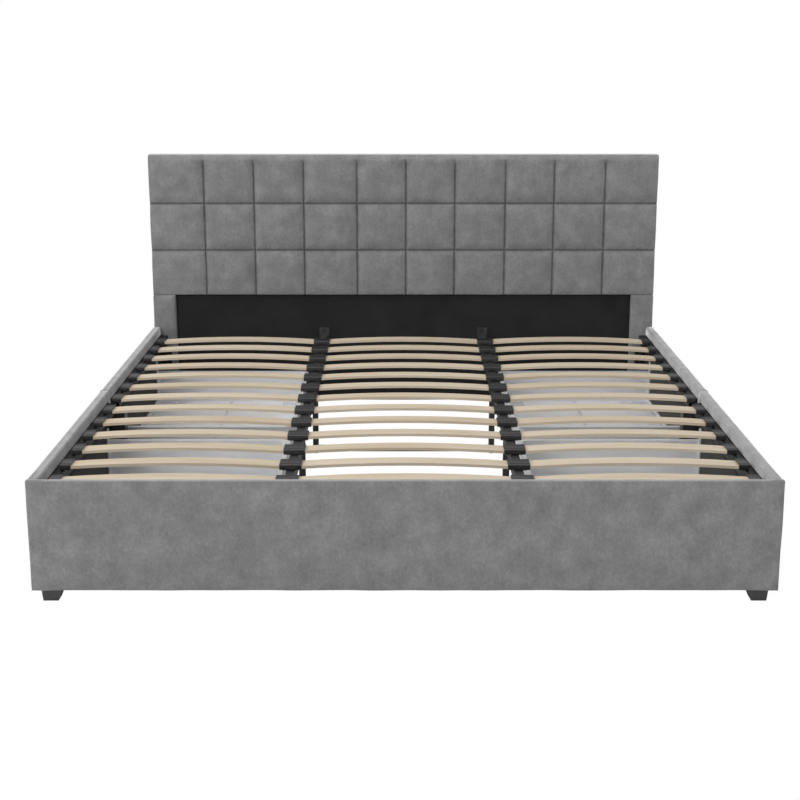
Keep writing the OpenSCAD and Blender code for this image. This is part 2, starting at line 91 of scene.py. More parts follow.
WHITE = (1.0, 1.0, 1.0, 1.0)
FILL_LIGHT = 0.60
bpy.context.scene.view_settings.view_transform = "Standard"
world = bpy.data.worlds.new("white_sweep")
world.use_nodes = True
bpy.context.scene.world = world
tree = world.node_tree
seen = add_node(tree, "Background", {"Color": WHITE, "Strength": 1.0})
felt = add_node(tree, "Background", {"Color": WHITE, "Strength": FILL_LIGHT})
choice = add_node(tree, "MixShader", {0: add_node(tree, "LightPath").outputs["Is Camera Ray"],
                                      1: felt.outputs[0], 2: seen.outputs[0]})
tree.links.new(choice.outputs[0], tree.nodes["World Output"].inputs["Surface"])

bpy.ops.mesh.primitive_plane_add(size=30.0)
floor = bpy.context.object
floor.name = "floor"
floor_paint = bpy.data.materials.new("white_floor")
floor_paint.use_nodes = True
tree = floor_paint.node_tree
tree.nodes.remove(tree.nodes["Principled BSDF"])
matt = add_node(tree, "BsdfDiffuse", {"Color": (0.78, 0.78, 0.78, 1.0)})
glow = add_node(tree, "Emission", {"Color": WHITE, "Strength": 1.0})
choice = add_node(tree, "MixShader", {0: add_node(tree, "LightPath").outputs["Is Camera Ray"],
                                      1: matt.outputs[0], 2: glow.outputs[0]})
tree.links.new(choice.outputs[0], tree.nodes["Material Output"].inputs["Surface"])
floor.data.materials.append(floor_paint)
print("world and floor ready")


# %% Lights
def softbox(name, place, aim, size, watts):
    """A square area light at a place, turned to face a point."""
    bpy.ops.object.light_add(type="AREA", location=place)
    lamp = bpy.context.object
    lamp.name = name
    lamp.rotation_euler = (Vector(aim) - Vector(place)).to_track_quat("-Z", "Y").to_euler()
    lamp.data.size = size
    lamp.data.energy = watts
    return lamp


softbox("overhead_softbox", (-0.3, 0.0, 4.2), (0.0, 0.2, 0.0), 3.2, 40.0)
softbox("key_softbox", (-5.4, -16.2, 8.0), (0.0, 0.2, 0.3), 7.0, 1165.0)
softbox("left_softbox", (-9.0, 0.4, 4.2), (0.0, 0.2, 0.4), 4.2, 500.0)

# %% [markdown]
# ## Finishes
# Each finish is a Principled shader with its colour and its bump made from noise on Object
# coordinates, which are metres here. A noise of scale 25 has patches of about 40 mm. Stretching the
# coordinates turns patches into grain or into streaks.


# %% Tools for finishes
def screen(red, green, blue):
    """A colour by its values on a screen, 0 to 255, as the linear values that shaders use."""
    def linear(value):
        value /= 255
        return value / 12.92 if value <= 0.04045 else ((value + 0.055) / 1.055) ** 2.4
    return (linear(red), linear(green), linear(blue), 1.0)


def new_finish(name, **sockets):
    """A material whose Principled shader has these values on its own sockets."""
    material = bpy.data.materials.new(name)
    material.use_nodes = True
    shader = material.node_tree.nodes["Principled BSDF"]
    for socket, value in sockets.items():
        shader.inputs[socket.replace("_", " ")].default_value = value
    return material


def pattern(material, scale, stretch=(1, 1, 1), detail=3.0, roughness=0.5, turn=(0, 0, 0)):
    """A noise from 0 to 1 on Object coordinates. A small stretch draws it out along that axis."""
    tree = material.node_tree
    place = add_node(tree, "TexCoord").outputs["Object"]
    placed = add_node(tree, "Mapping", {"Vector": place, "Scale": stretch, "Rotation": turn})
    made = add_node(tree, "TexNoise", {"Vector": placed.outputs[0], "Scale": scale,
                                       "Detail": detail, "Roughness": roughness})
    return made.outputs[0]


def blend_of(material, first, second, share):
    """A weighted sum of two patterns."""
    tree = material.node_tree
    a = add_node(tree, "Math", {0: first, 1: 1 - share}, operation="MULTIPLY")
    return add_node(tree, "Math", {0: second, 1: share, 2: a.outputs[0]},
                    operation="MULTIPLY_ADD").outputs[0]


def colour_by(material, value, stops):
    """Colours the shader through a ramp of (position, colour)."""
    ramp = add_node(material.node_tree, "ValToRGB", {"Fac": value})
    ramp.color_ramp.elements[0].position, ramp.color_ramp.elements[0].color = stops[0]
    ramp.color_ramp.elements[1].position, ramp.color_ramp.elements[1].color = stops[-1]
    for position, colour in stops[1:-1]:
        ramp.color_ramp.elements.new(position).color = colour
    shader = material.node_tree.nodes["Principled BSDF"]
    material.node_tree.links.new(ramp.outputs[0], shader.inputs["Base Color"])
    return ramp.outputs[0]


def bump_by(material, *layers):
    """Bumps from (pattern, height in metres, strength), one on the other."""
    tree = material.node_tree
    normal = None
    for value, height, strength in layers:
        inputs = {"Height": value, "Distance": height, "Strength": strength}
        if normal is not None:
            inputs["Normal"] = normal
        normal = add_node(tree, "Bump", inputs).outputs[0]
    tree.links.new(normal, tree.nodes["Principled BSDF"].inputs["Normal"])


def roughness_by(material, value, low, high):
    tree = material.node_tree
    made = add_node(tree, "MapRange", {"Value": value, "To Min": low, "To Max": high})
    tree.links.new(made.outputs[0], tree.nodes["Principled BSDF"].inputs["Roughness"])


print("white is", screen(255, 255, 255))

# %% [markdown]
# ### Velvet
# The cover is a short-pile grey velvet. A hand drawn over it leaves lighter and darker clouds, 20
# to 60 mm across, and there are faint streaks down the pile. At a grazing angle the tips of the
# pile catch the light, which the shader's sheen gives. A fine bump stands for the pile itself. In
# a sewn seam the colour is darkened by painted shade in the seam's valley, together with the darker
# look of the crushed pile there, through a value that pieces with seams carry on their points. The
# side rails' velvet is the same with paler tones, a painted sheen for their tops and insides.

# %% Velvet
# How dark the painted shade in a seam's valley makes the velvet.
SEAM_SHADE_DARKENS = 0.28


def velvet_finish(name, painted_sheen_gain=1.0):
    """Velvet, with all its tones made paler by the gain, as a painted sheen."""
    made = new_finish(name, Roughness=0.88, Sheen_Weight=1.0, Sheen_Roughness=0.27,
                      Sheen_Tint=(1.0, 1.0, 1.0, 1.0), Specular_IOR_Level=0.2)
    clouds = pattern(made, 15.0, detail=5.0, roughness=0.68)
    streaks = pattern(made, 75.0, (1.0, 1.0, 0.2), detail=3.0, roughness=0.6)
    flecks = pattern(made, 170.0, (1.0, 1.0, 0.7), detail=3.0, roughness=0.7)
    pile = pattern(made, 900.0, detail=2.0)
    rubbed = blend_of(made, blend_of(made, clouds, flecks, 0.42), streaks, 0.12)
    # The painted shade in the seams, read from the points of the piece.
    painted_seam_shade = add_node(made.node_tree, "Attribute", attribute_name="seam_shade").outputs["Fac"]
    shade = add_node(made.node_tree, "Math", {0: painted_seam_shade, 1: -SEAM_SHADE_DARKENS, 2: rubbed},
                     operation="MULTIPLY_ADD")
    tones = [(0.0, 66), (0.32, 103), (0.50, 122), (0.68, 141)]
    colour_by(made, shade.outputs[0], [(at, screen(*(tone * painted_sheen_gain + blue for blue in (0, 0, 1))))
                                       for at, tone in tones])
    bump_by(made, (clouds, 0.004, 0.25), (flecks, 0.0012, 0.25), (pile, 0.0006, 0.3))
    return made


velvet = velvet_finish("grey_velvet")
# The side rails' velvet: the same, with all its tones paler, as a painted sheen.
sheen_painted_velvet = velvet_finish("grey_velvet_painted_sheen", 1.2)
print("velvet ready")

# %% [markdown]
# ### Slat wood
# The slats are bent from layers of birch. The grain runs along the slat, across the bed, in fine
# pinkish and cream lines, and each slat comes from another sheet, so each has its own tone. A white
# noise on the slat's row and column number gives that tone.

# %% Birch
ROW_STEP = 0.1513
COLUMN_STEP = 0.63
first_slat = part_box("middle_slats")[0].y
birch = new_finish("birch_ply", Roughness=0.5, Specular_IOR_Level=0.35)
tree = birch.node_tree
axes = add_node(tree, "SeparateXYZ", {0: add_node(tree, "TexCoord").outputs["Object"]})
HALF_SPACE = 0.048   # half of the free space between two slats
row = add_node(tree, "Math", {0: axes.outputs["Y"], 1: HALF_SPACE - first_slat}, operation="ADD")
row = add_node(tree, "Math", {0: row.outputs[0], 1: ROW_STEP}, operation="DIVIDE")
row = add_node(tree, "Math", {0: row.outputs[0]}, operation="FLOOR")
column = add_node(tree, "Math", {0: axes.outputs["X"], 1: COLUMN_STEP}, operation="DIVIDE")
column = add_node(tree, "Math", {0: column.outputs[0]}, operation="ROUND")
number = add_node(tree, "CombineXYZ", {0: row.outputs[0], 1: column.outputs[0]})
tone = add_node(tree, "TexWhiteNoise", {"Vector": number.outputs[0]}, noise_dimensions="3D").outputs[0]
grain = pattern(birch, 220.0, (0.035, 1.0, 1.0), detail=5.0, roughness=0.65)
bands = pattern(birch, 26.0, (0.12, 1.0, 1.0), detail=2.0)
figure = blend_of(birch, blend_of(birch, grain, bands, 0.45), tone, 0.12)
colour_by(birch, figure, [(0.28, screen(182, 162, 137)), (0.5, screen(199, 184, 162)),
                          (0.72, screen(210, 198, 179))])
bump_by(birch, (grain, 0.0006, 0.3))
roughness_by(birch, grain, 0.42, 0.62)
print("birch ready, first slat starts at y =", round(first_slat, 4))

# %% [markdown]
# ### Timber, lining, metals and plastics
# The hidden frame is sawn pine. The lining is black non-woven cloth, stapled over every inside
# face, with the small dimples of its bonding. Tubes and legs are powder-coated, which leaves a
# fine orange peel. Caps, blocks, feet and wheels are moulded black plastic with a spark-eroded
# grain, and the trays are a pale grey plastic, a little cloudy.

# %% Other finishes
pine = new_finish("sawn_pine", Roughness=0.75)
ring = pattern(pine, 70.0, (1.0, 1.0, 0.06), detail=4.0, roughness=0.6)
colour_by(pine, ring, [(0.3, screen(168, 132, 88)), (0.7, screen(214, 184, 138))])
bump_by(pine, (ring, 0.001, 0.3))

lining = new_finish("black_lining", Roughness=0.95, Sheen_Weight=0.12, Specular_IOR_Level=0.2)
fibres = pattern(lining, 650.0, detail=3.0)
crush = pattern(lining, 9.0, detail=3.0)
colour_by(lining, blend_of(lining, fibres, crush, 0.55),
          [(0.3, screen(27, 27, 27)), (0.7, screen(41, 41, 41))])
dimples = add_node(lining.node_tree, "TexVoronoi", {
    "Vector": add_node(lining.node_tree, "TexCoord").outputs["Object"], "Scale": 330.0}).outputs[0]
bump_by(lining, (dimples, 0.0008, 0.35), (crush, 0.004, 0.2))


def moulded(name, dark, light, roughness, grain_scale, grain_height):
    """A moulded plastic or a powder coat: a faint cloud in its colour, and a fine even grain."""
    made = new_finish(name, Roughness=roughness, Specular_IOR_Level=0.4)
    cloud = pattern(made, 12.0, detail=3.0)
    fine = pattern(made, grain_scale, detail=2.0)
    colour_by(made, blend_of(made, cloud, fine, 0.35), [(0.3, dark), (0.7, light)])
    bump_by(made, (fine, grain_height, 0.5))
    roughness_by(made, cloud, roughness - 0.06, roughness + 0.08)
    return made


black_plastic = moulded("black_plastic", screen(15, 15, 15), screen(29, 29, 29), 0.38, 260.0, 0.0007)
black_plastic.node_tree.nodes["Principled BSDF"].inputs["Specular IOR Level"].default_value = 0.95
foot_plastic = moulded("foot_plastic", screen(56, 56, 57), screen(66, 66, 67), 0.55, 600.0, 0.0004)
black_steel = moulded("black_steel", screen(20, 20, 20), screen(30, 30, 30), 0.5, 420.0, 0.0003)
wheel_plastic = moulded("wheel_plastic", screen(30, 30, 31), screen(40, 40, 42), 0.4, 500.0, 0.0002)
steel = moulded("grey_steel", screen(44, 44, 43), screen(56, 56, 54), 0.45, 420.0, 0.0003)
tray_plastic = moulded("tray_plastic", screen(218, 219, 222), screen(230, 231, 233), 0.42, 380.0, 0.0002)
bolt_zinc = moulded("blackened_bolt", screen(58, 58, 60), screen(86, 86, 88), 0.34, 900.0, 0.0002)
bolt_zinc.node_tree.nodes["Principled BSDF"].inputs["Metallic"].default_value = 0.9

# The tops of a tray's raised floor panels are paler: partly their own colour, partly painted light.
PANEL_HEIGHT, PANEL_REACH = 0.069, 0.0012
tree = tray_plastic.node_tree
height = add_node(tree, "SeparateXYZ", {0: add_node(tree, "TexCoord").outputs["Object"]}).outputs["Z"]
raised = add_node(tree, "Math", {0: height, 1: PANEL_HEIGHT, 2: PANEL_REACH},
                  operation="COMPARE")
grained = tree.nodes["Principled BSDF"].inputs["Base Color"].links[0].from_socket
panel_tone_and_painted_light = add_node(tree, "Mix", {"Factor": raised.outputs[0], "A": grained, "B": screen(249, 249, 251)},
                 data_type="RGBA")
tree.links.new(panel_tone_and_painted_light.outputs[2], tree.nodes["Principled BSDF"].inputs["Base Color"])
print("finishes:", [m.name for m in bpy.data.materials if m.use_nodes])

# %% [markdown]
# ### The nodes that keep their shape
# A node whose exact shape is already right only gets its finish, in its object's material slots.

# %% Finish the kept nodes
DRAWERS = [f"{side}_{end}_drawer" for side in ("left", "right") for end in ("foot", "head")]
RAILS = [f"{side}_{end}_rail" for side in ("left", "right") for end in ("foot", "head")]
kept = {
    pine: (["headboard_posts", "headboard_rails", "footboard_board"]
           + [d + "_front_board" for d in DRAWERS]),
    lining: [r + "_board" for r in RAILS],
    birch: ["left_slats", "middle_slats", "right_slats"],
    black_steel: ["ledges", "corner_brackets"],
    steel: ["centre_rails", "foot_support_leg", "head_support_leg"],
    foot_plastic: ["plastic_feet"],
    bolt_zinc: ["frame_bolts"],
    black_plastic: (["leg_blocks", "centre_rail_sockets", "support_glides"]
                    + [d + "_casters" for d in DRAWERS]),
    wheel_plastic: [f"{d}_{row}_wheels" for d in DRAWERS for row in ("outer", "inner")],
    tray_plastic: [d + "_tray" for d in DRAWERS],
}
for material, names in kept.items():
    for name in names:
        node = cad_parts[name]
        if not node.material_slots:
            node.data.materials.append(material)
        for place in node.material_slots:
            place.material = material
print("nodes that keep their shape:", sum(map(len, kept.values())))

# %% [markdown]
# ## Tools for modelling
# These wrap the steps of modelling by hand: add a block at its size and place, go into edit mode,
# cut it, select faces or edges by where they are, extrude and bevel them. An operator acts on all
# that is selected, so each helper starts by deselecting everything.


# %% Blocks, cuts and selections
def take(piece):
    """Selects one object alone, and makes it active."""
    bpy.ops.object.select_all(action="DESELECT")
    piece.select_set(True)
    bpy.context.view_layer.objects.active = piece


def block(name, low, high):
    """A cube primitive at its size and place, with its place in its mesh."""
    low, high = Vector(low), Vector(high)
    bpy.ops.object.select_all(action="DESELECT")
    bpy.ops.mesh.primitive_cube_add(size=1.0, location=(low + high) / 2)
    piece = bpy.context.object
    piece.name = piece.data.name = name
    piece.scale = high - low
    bpy.ops.object.transform_apply(location=True, rotation=True, scale=True)
    return piece


@contextlib.contextmanager
def editing(piece):
    """Edit mode on one object, and object mode again after."""
    take(piece)
    bpy.ops.object.mode_set(mode="EDIT")
    yield
    bpy.ops.object.mode_set(mode="OBJECT")


def cut(piece, axis, places):
    """Cuts right through the piece at each place along an axis, 0, 1 or 2."""
    direction = [0.0, 0.0, 0.0]
    direction[axis] = 1.0
    bpy.ops.mesh.select_mode(type="FACE")
    for place in places:
        bpy.ops.mesh.select_all(action="SELECT")
        bpy.ops.mesh.bisect(plane_co=[place * d for d in direction], plane_no=direction)


def pick_faces(piece, test):
    """Selects the faces for which test(middle, normal) is true."""
    bpy.ops.mesh.select_mode(type="FACE")
    bpy.ops.mesh.select_all(action="DESELECT")
    mesh = bmesh.from_edit_mesh(piece.data)
    mesh.normal_update()
    for face in mesh.faces:
        face.select_set(test(face.calc_center_median(), face.normal))
    bmesh.update_edit_mesh(piece.data)


def pick_edges(piece, test):
    """Selects the edges whose two ends both pass test(place)."""
    bpy.ops.mesh.select_mode(type="EDGE")
    bpy.ops.mesh.select_all(action="DESELECT")
    mesh = bmesh.from_edit_mesh(piece.data)
    for edge in mesh.edges:
        edge.select_set(all(test(v.co) for v in edge.verts))
    bmesh.update_edit_mesh(piece.data)


def extrude(x=0.0, y=0.0, z=0.0):
    bpy.ops.mesh.extrude_region_move(TRANSFORM_OT_translate={"value": (x, y, z)})


def steps(start, stop, size):
    """Evenly spaced places between two ends, about size apart."""
    count = max(1, round(abs(stop - start) / size))
    return [start + (stop - start) * i / count for i in range(1, count)]


def near(value, place, reach=0.0006):
    return abs(value - place) < reach


print("tools ready")


# %% Copies, and the last steps of every piece
def round_edges(piece, width, segments=2, angle=40.0):
    """Takes the sharpness off every edge that turns more than the angle."""
    take(piece)
    bpy.ops.object.modifier_add(type="BEVEL")
    bevel = piece.modifiers[-1]
    bevel.width, bevel.segments = width, segments
    bevel.limit_method, bevel.angle_limit = "ANGLE", math.radians(angle)
    bpy.ops.object.modifier_apply(modifier=bevel.name)


def tidy_normals(piece):
    with editing(piece):
        bpy.ops.mesh.select_all(action="SELECT")
        bpy.ops.mesh.remove_doubles(threshold=0.00001)
        bpy.ops.mesh.normals_make_consistent(inside=False)


def copy_of(piece, name, move=(0, 0, 0), mirrored=False):
    """A copy with its own mesh, moved, or mirrored to the bed's other side."""
    take(piece)
    bpy.ops.object.duplicate()
    made = bpy.context.object
    made.name = made.data.name = name
    made.location = move
    if mirrored:
        made.scale = (-1, 1, 1)
    bpy.ops.object.transform_apply(location=True, rotation=True, scale=True)
    tidy_normals(made)
    return made


def complete(piece, material, body, nodes, angle=48.0):
    """Shades a piece, gives it its finish, puts it on the body that it rides on, and hides the nodes it
    stands for.
    """
    take(piece)
    bpy.ops.object.shade_smooth_by_angle(angle=math.radians(angle))
    piece.data.materials.clear()
    piece.data.materials.append(material)
    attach(piece, body)
    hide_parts(*nodes)
    print(piece.name, "faces:", len(piece.data.polygons))


# %% [markdown]
# ## The slats' caps
# A cap is a moulded sleeve that grips a slat's end, with rounded shoulders and two ribs along its
# top, on a narrower foot that clips to the tube below. The centre caps are double. One of each is
# modelled from a block, its mouth is inset and sunk, and it is repeated along the bed.


# %% Slat caps
CAP_ROWS = 13
RIB_START, RIB_END, RIB_HEIGHT = 0.017, 0.020, 0.0009
LIP = 0.0018
NECK_IN_X, NECK_IN_Y, NECK_TOP = 0.008, 0.007, 0.003


def cap_sleeve(name, low, high, mouths):
    """One cap. mouths are pairs of the way a mouth faces, 1 or -1, and its depth."""
    front, back, bottom = low.y + 0.0021, high.y - 0.0021, low.z + 0.0022
    cap = block(name, (low.x, front, bottom), (high.x, back, high.z))
    middle = (low.y + high.y) / 2
    with editing(cap):
        for y, z, size in ((front, high.z, 0.0012), (back, high.z, 0.0020), (front, bottom, 0.0022)):
            pick_edges(cap, lambda place: near(place.y, y) and near(place.z, z))
            bpy.ops.mesh.bevel(offset=size, segments=4, affect="EDGES")
        cut(cap, 1, [middle + place for place in (-RIB_END, -RIB_START, RIB_START, RIB_END)])
        pick_faces(cap, lambda centre, normal: normal.z > 0.9
                   and RIB_START < abs(centre.y - middle) < RIB_END)
        extrude(z=RIB_HEIGHT)
        for way, depth in mouths:
            pick_faces(cap, lambda centre, normal: normal.x * way > 0.9)
            bpy.ops.mesh.dissolve_faces()
            pick_faces(cap, lambda centre, normal: normal.x * way > 0.9)
            bpy.ops.mesh.inset(thickness=LIP, use_even_offset=True)
            extrude(x=-way * depth)
    round_edges(cap, 0.0005, 2, 50.0)
    neck = block(name + "_neck", (low.x + NECK_IN_X, low.y + NECK_IN_Y, low.z),
                 (high.x - NECK_IN_X, high.y - NECK_IN_Y, low.z + NECK_TOP))
    round_edges(neck, 0.0008)
    take(neck)
    cap.select_set(True)
    bpy.context.view_layer.objects.active = cap
    bpy.ops.object.join()
    return cap


def along_the_bed(cap, name, count, step):
    """Repeats a cap down the bed on both sides, as one piece."""
    made = [cap] + [copy_of(cap, f"{name}_{i}", (0, step * i, 0)) for i in range(1, count)]
    made += [copy_of(piece, piece.name + "_left", mirrored=True) for piece in list(made)]
    take(cap)
    for piece in made:
        piece.select_set(True)
    bpy.ops.object.join()
    return cap


def first_cap(node):
    """The box of the right-hand cap nearest the foot."""
    places = [v.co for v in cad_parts[node].data.vertices if v.co.x > 0]
    nearest = min(place.y for place in places)
    row = [place for place in places if place.y < nearest + ROW_STEP / 2]
    return [Vector([pick(place[i] for place in row) for i in range(3)]) for pick in (min, max)]


for node, mouths in (("side_caps", [(-1, 0.0165)]), ("centre_caps", [(-1, 0.0235), (1, 0.0235)])):
    low, high = first_cap(node)
    cap = along_the_bed(cap_sleeve(node + "_moulded", low, high, mouths), node, CAP_ROWS, ROW_STEP)
    complete(cap, black_plastic, "frame", [node], angle=35.0)

# %% [markdown]
# ## How foam and velvet behave
# Foam under a tight cover bulges a little between the places where it is fixed. Blender's cloth
# does this: the fixed points are pinned, pressure pushes the rest out for 20 frames without
# gravity, and the result is applied. The movement levels off towards a most, so no point runs
# away. A slow noise after it gives the small unevenness of hand upholstery.


# %% Padding
CLOTH_FRAMES = 20


def puff(piece, fixed, pressure, most, slack=0.0):
    """Rounds a piece out by cloth pressure. fixed(place) is true where it is sewn or stapled."""
    rest = [v.co.copy() for v in piece.data.vertices]
    pins = piece.vertex_groups.new(name="fixed")
    pins.add([i for i, place in enumerate(rest) if fixed(place)], 1.0, "REPLACE")
    take(piece)
    bpy.ops.object.modifier_add(type="CLOTH")
    cloth = piece.modifiers[-1]
    cloth.settings.quality = 5
    cloth.settings.vertex_group_mass = pins.name
    cloth.settings.use_pressure = True
    cloth.settings.uniform_pressure_force = pressure
    cloth.settings.effector_weights.gravity = 0.0
    cloth.settings.shrink_min = -slack
    cloth.collision_settings.use_collision = False
    for number in range(1, CLOTH_FRAMES + 1):
        bpy.context.scene.frame_set(number)
    bpy.ops.object.modifier_apply(modifier=cloth.name)
    bpy.context.scene.frame_set(1)
    furthest = 0.0
    for vertex, place in zip(piece.data.vertices, rest):
        moved = vertex.co - place
        furthest = max(furthest, moved.length)
        if moved.length > 1e-6:
            vertex.co = place + moved.normalized() * most * math.tanh(moved.length / most)
    piece.vertex_groups.clear()
    print(piece.name, "cloth moved up to", round(furthest * 1000, 1), "mm")


def unevenness(piece, amount, size, free):
    """Moves the points for which free(place) is true by a slow noise along their normals."""
    normals = [v.normal.copy() for v in piece.data.vertices]
    for vertex, normal in zip(piece.data.vertices, normals):
        if free(vertex.co):
            vertex.co = vertex.co + normal * amount * noise.noise(vertex.co / size)


print("padding tools ready")

# %% [markdown]
# ## The tufted headboard
# Foam is glued to the timber frame, and the velvet over it is sewn into ten columns and three rows
# of squares, each stitched down to the board. The seams are crisp valleys, the squares are flat
# in the middle with soft shoulders, and the upright seams stop just below the top edge. The piece
# starts as one block, with a pocket behind for the timber. It is cut finely beside the seams and
# coarsely between them, the seams are sunk, and cloth pressure then fills the squares.

# %% Headboard pad
GROOVE, GROOVE_HALF = 0.0055, 0.0036
SHOULDER, SHOULDER_REACH = 0.0065, 0.026
# Half the width of the painted shade along a seam.
SEAM_SHADE_HALF = 0.005
pad_low, pad_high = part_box("headboard_pad")
timber_low, timber_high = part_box("headboard_posts")
seams_x = [-0.786, -0.589, -0.393, -0.183, 0.010, 0.203, 0.402, 0.594, 0.794]
seams_z = [0.641, 0.826]
pad_face = pad_low.y + 0.0035
seams_stop = pad_high.z - 0.013

pad = block("headboard_tufted_pad", (pad_low.x, pad_face, pad_low.z), pad_high)
with editing(pad):
    pick_faces(pad, lambda middle, normal: normal.y > 0.9)
    bpy.ops.mesh.inset(thickness=0.0038, use_even_offset=True)
    extrude(y=timber_low.y - pad_high.y)
    pick_edges(pad, lambda place: near(place.y, pad_face) and place.z > pad_low.z + 0.001)
    bpy.ops.mesh.bevel(offset=0.016, segments=6, affect="EDGES")
    pick_edges(pad, lambda place: near(place.y, pad_face) and near(place.z, pad_low.z))
    bpy.ops.mesh.bevel(offset=0.006, segments=4, affect="EDGES")
offsets = [0.0, 0.0014, 0.0028, 0.0045, 0.008, 0.013, 0.020, 0.030, 0.043, 0.058, 0.078]


def cuts_beside(seams, low, high):
    """Places that crowd together beside each seam and each end."""
    places = set()
    for seam in seams:
        for offset in offsets:
            for place in (seam - offset, seam + offset):
                if low + 0.018 < place < high - 0.018:
                    places.add(round(place, 5))
    for start, stop in zip([low] + seams, seams + [high]):
        places.add(round((start + stop) / 2, 5))
    for end, way in ((low, 1), (high, -1)):
        for offset in (0.020, 0.028, 0.038, 0.052, 0.074):
            places.add(round(end + way * offset, 5))
    places = sorted(places)
    return [p for p, q in zip(places, places[1:] + [9.0]) if q - p > 0.0009]


with editing(pad):
    cut(pad, 0, cuts_beside(seams_x, pad_low.x, pad_high.x))
    cut(pad, 2, cuts_beside(seams_z, pad_low.z, pad_high.z))
print("pad faces:", len(pad.data.polygons))


# %% Sink the seams and fill the squares
def valley(distance):
    """The depth of a sewn seam and of the soft shoulders beside it."""
    return (GROOVE * max(0.0, 1 - distance / GROOVE_HALF)
            + SHOULDER * math.exp(-distance / SHOULDER_REACH))


def beside_seam(place):
    """How deep a seam pulls here, in metres, and how much painted shade falls in its valley, from 0 to
    1.
    """
    across = min(abs(place.x - x) for x in seams_x)
    up = min(abs(place.z - z) for z in seams_z)
    fade = min(1.0, max(0.0, (seams_stop - place.z) / 0.024))
    upright = fade * valley(across)
    level = valley(up)
    # How much painted shade falls here, in the valley of the nearest seam.
    seam_shade = max(fade * max(0.0, 1 - across / SEAM_SHADE_HALF), max(0.0, 1 - up / SEAM_SHADE_HALF))
    return max(upright, level) + 0.35 * min(upright, level), seam_shade


ROUND = 0.0165
# Each point's painted shade in the seams is gathered here; none goes on points away from the front face.
folds = []
for vertex in pad.data.vertices:
    pull, seam_shade = beside_seam(vertex.co)
    on_face = max(0.0, 1 - (vertex.co.y - pad_face) / ROUND)
    vertex.co.y += on_face * pull
    folds.append(seam_shade if on_face > 0 else 0.0)


def pad_fixed(place):
    on_face = (abs(place.x) < pad_high.x - 0.002 and place.z < pad_high.z - 0.002
               and place.y < timber_low.y - 0.002)
    return not on_face or place.z < pad_low.z + 0.004 or beside_seam(place)[1] > 0.7


puff(pad, pad_fixed, pressure=4.0, most=0.0045, slack=0.003)
unevenness(pad, 0.0009, 0.07, lambda place: place.y < pad_face + 0.009)
# The painted shade in the seams is stored on the pad's points, for the velvet to read.
pad.data.attributes.new("seam_shade", "FLOAT", "POINT").data.foreach_set("value", folds)
complete(pad, velvet, "frame", ["headboard_pad"], angle=60.0)

# %% [markdown]
# ## The headboard's legs
# Below the pad, plain strips of velvet go down each side, over the front and the outer side of the
# post. One is modelled: a block for the foam, its outer edge extruded back round the post. The
# other is its mirror image, and both are one piece of work, as they stand for one node.

# %% Leg covers
leg_low, leg_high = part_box("headboard_leg_covers")
panel_low, panel_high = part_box("headboard_dust_panel")
post_side = timber_high.x
leg = block("headboard_leg_covers_velvet", (panel_high.x, leg_low.y + 0.001, leg_low.z),
            (leg_high.x, timber_low.y, leg_high.z))
with editing(leg):
    cut(leg, 0, [post_side])
    pick_faces(leg, lambda middle, normal: normal.y > 0.9 and middle.x > post_side)
    extrude(y=timber_high.y - timber_low.y)
    pick_edges(leg, lambda place: near(place.y, leg_low.y + 0.001))
    bpy.ops.mesh.bevel(offset=0.007, segments=4, affect="EDGES")
    cut(leg, 2, steps(leg_low.z, leg_high.z, 0.012))
    cut(leg, 0, steps(panel_high.x + 0.008, post_side - 0.006, 0.012))
puff(leg, lambda place: place.y > leg_low.y + 0.0075, pressure=4.0, most=0.003)
unevenness(leg, 0.0012, 0.06, lambda place: place.y < leg_low.y + 0.006)
other_leg = copy_of(leg, "other_leg", mirrored=True)
take(leg)
other_leg.select_set(True)
bpy.ops.object.join()
complete(leg, velvet, "frame", ["headboard_leg_covers"])

# %% [markdown]
# ## The footboard
# The footboard is a wide board with a thin layer of foam, so its face is nearly flat and its edges
# are crisp, a few millimetres round. The velvet is pulled over all its edges and stapled behind,
# where a black lining covers the staples.

# %% Footboard cover
foot_low, foot_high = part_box("footboard_cover")
foot_board_low, foot_board_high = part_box("footboard_board")
foot_face = foot_low.y + 0.001
footboard = block("footboard_velvet", (foot_low.x, foot_face, foot_low.z), foot_high)
with editing(footboard):
    pick_faces(footboard, lambda middle, normal: normal.y > 0.9)
    bpy.ops.mesh.inset(thickness=0.0038, use_even_offset=True)
    extrude(y=foot_board_low.y - foot_high.y)
    pick_edges(footboard, lambda place: near(place.y, foot_face))
    bpy.ops.mesh.bevel(offset=0.003, segments=3, affect="EDGES")
    pick_edges(footboard, lambda place: near(place.y, foot_high.y) and near(place.z, foot_high.z))
    bpy.ops.mesh.bevel(offset=0.0025, segments=3, affect="EDGES")
    cut(footboard, 0, steps(foot_low.x + 0.004, foot_high.x - 0.004, 0.022))
    cut(footboard, 2, steps(foot_low.z + 0.004, foot_high.z - 0.004, 0.02))
puff(footboard, lambda place: place.y > foot_face + 0.0025, pressure=4.0, most=0.0018)
unevenness(footboard, 0.0013, 0.09, lambda place: place.y < foot_face + 0.004)
complete(footboard, velvet, "frame", ["footboard_cover"])

# %% [markdown]
# ## The side rails
# Each side has two rails that meet in the middle. The velvet goes over the outside, rounds the top,
# and ends in a short skirt inside, with a longer tail where the two rails meet. Below, it goes down
# both ends of the rail, round a bay for the drawer, and turns in round the bay's edges. It is
# modelled as a strip, then extruded the way that the cloth goes. The foam is folded double over the
# outer top edge, so that edge is moved out a few millimetres, and the inner one is rounded more.

# %% Rail covers
WRAP = 0.004
DRAWER_GAP = 0.004
SKIRT_END = 0.301
FOOT_TAIL_END, HEAD_TAIL_END = 0.273, 0.287
FOOT_TAIL, HEAD_TAIL = 0.031, 0.011


